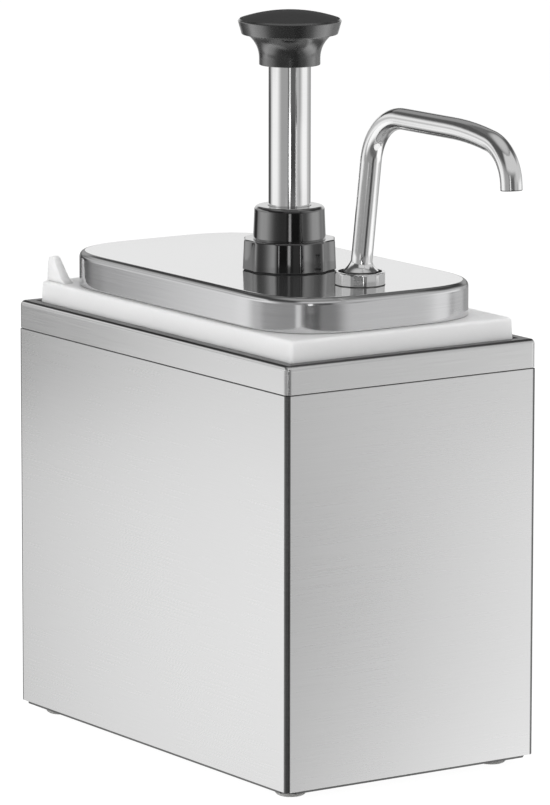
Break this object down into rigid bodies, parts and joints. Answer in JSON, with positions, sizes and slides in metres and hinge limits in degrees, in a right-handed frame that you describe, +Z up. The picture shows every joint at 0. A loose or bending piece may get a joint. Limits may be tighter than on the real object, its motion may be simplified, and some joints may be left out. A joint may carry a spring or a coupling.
{
  "type": "sauce dispenser",
  "caption": "Countertop sauce dispenser: a steel housing with a lift-out container and a lid that carries a hand pump with a swivelling curved spout.",
  "frame": {"origin": "on the table, under the middle of the object's outer box with the spout included, which is on the housing's centre plane", "axes": "+Z up, -Y towards the front, where the spout points, +X to the right of someone facing +Y"},
  "size_m": [0.134, 0.2968, 0.3358],
  "materials": {
    "brushed_steel": "fine brushed",
    "base_steel": "plain sheet",
    "lid_steel": "polished",
    "polished_tube": "polished",
    "spring_steel": "drawn wire",
    "milky_plastic": "satin, slightly translucent",
    "white_plastic": "satin",
    "ivory_plastic": "satin",
    "black_plastic": "semi-gloss",
    "grey_rubber": "matte",
    "foot_rubber": "smooth, milky",
    "brass": "turned",
    "plug_steel": "turned"
  },
  "bodies": {
    "base": {"housing": "brushed_steel", "base_plate": "base_steel", "top_frame": "brushed_steel", "feet": "foot_rubber"},
    "container": {"container": "milky_plastic"},
    "lid_set": {"lid": "lid_steel", "pump_cylinder": "white_plastic", "cylinder_gasket": "grey_rubber", "return_spring": "spring_steel", "valve_body": "white_plastic", "valve_seal": "grey_rubber", "inlet_cage": "polished_tube", "outlet_cage": "polished_tube", "channel_plug": "white_plastic", "suction_tube": "white_plastic", "discharge_riser": "polished_tube", "riser_ferrule": "polished_tube", "riser_gasket": "grey_rubber", "spout_oring": "grey_rubber"},
    "bush": {"guide_bush": "ivory_plastic", "wiper_seal": "grey_rubber"},
    "collar": {"lock_collar": "black_plastic"},
    "piston": {"piston_seal": "grey_rubber"},
    "plunger": {"plunger_tube": "polished_tube", "plunger_plug": "plug_steel", "knob": "black_plastic", "knob_insert": "brass", "piston_head": "ivory_plastic", "piston_screw": "polished_tube"},
    "inlet_ball": {"inlet_ball": "polished_tube"},
    "outlet_ball": {"outlet_ball": "polished_tube"},
    "spout": {"spout": "polished_tube"},
    "ring": {"slip_ring": "white_plastic"},
    "nut": {"spout_nut": "polished_tube"}
  },
  "joints": [
    {"name": "container_lift", "type": "slide", "parent": "base", "child": "container", "axis": [0, 0, 1], "range_m": [0, 0.195]},
    {"name": "lid_lift", "type": "slide", "parent": "container", "child": "lid_set", "axis": [0, 0, 1], "range_m": [0, 0.2]},
    {"name": "plunger_press", "type": "slide", "parent": "lid_set", "child": "piston", "axis": [0, 0, -1], "range_m": [0, 0.052], "stiffness_N_per_m": 300, "springref_m": -0.04, "deforming": ["return_spring"]},
    {"name": "plunger_turn", "type": "hinge", "parent": "piston", "child": "plunger", "pos_m": [0, 0.02439, 0.2256], "axis": [0, 0, 1], "continuous": true},
    {"name": "bush_rise", "type": "slide", "parent": "lid_set", "child": "bush", "axis": [0, 0, 1], "range_m": [0, 0.0075]},
    {"name": "collar_turn", "type": "hinge", "parent": "bush", "child": "collar", "pos_m": [0, 0.02439, 0.2192], "axis": [0, 0, 1], "range_deg": [0, 900]},
    {"name": "spout_swivel", "type": "hinge", "parent": "lid_set", "child": "spout", "pos_m": [0, -0.03131, 0.2192], "axis": [0, 0, 1], "range_deg": [-145, 145]},
    {"name": "ring_rise", "type": "slide", "parent": "lid_set", "child": "ring", "axis": [0, 0, 1], "range_m": [0, 0.003]},
    {"name": "nut_turn", "type": "hinge", "parent": "ring", "child": "nut", "pos_m": [0, -0.03131, 0.2192], "axis": [0, 0, 1], "range_deg": [0, 1080]},
    {"name": "inlet_ball_lift", "type": "slide", "parent": "lid_set", "child": "inlet_ball", "axis": [0, 0, 1], "range_m": [0, 0.0032]},
    {"name": "outlet_ball_lift", "type": "slide", "parent": "lid_set", "child": "outlet_ball", "axis": [0, 0, 1], "range_m": [0, 0.0025]}
  ],
  "couplings": [
    {"joint": "bush_rise", "follows": "collar_turn", "m_per_rad": 0.00047746},
    {"joint": "ring_rise", "follows": "nut_turn", "m_per_rad": 0.00015915}
  ]
}
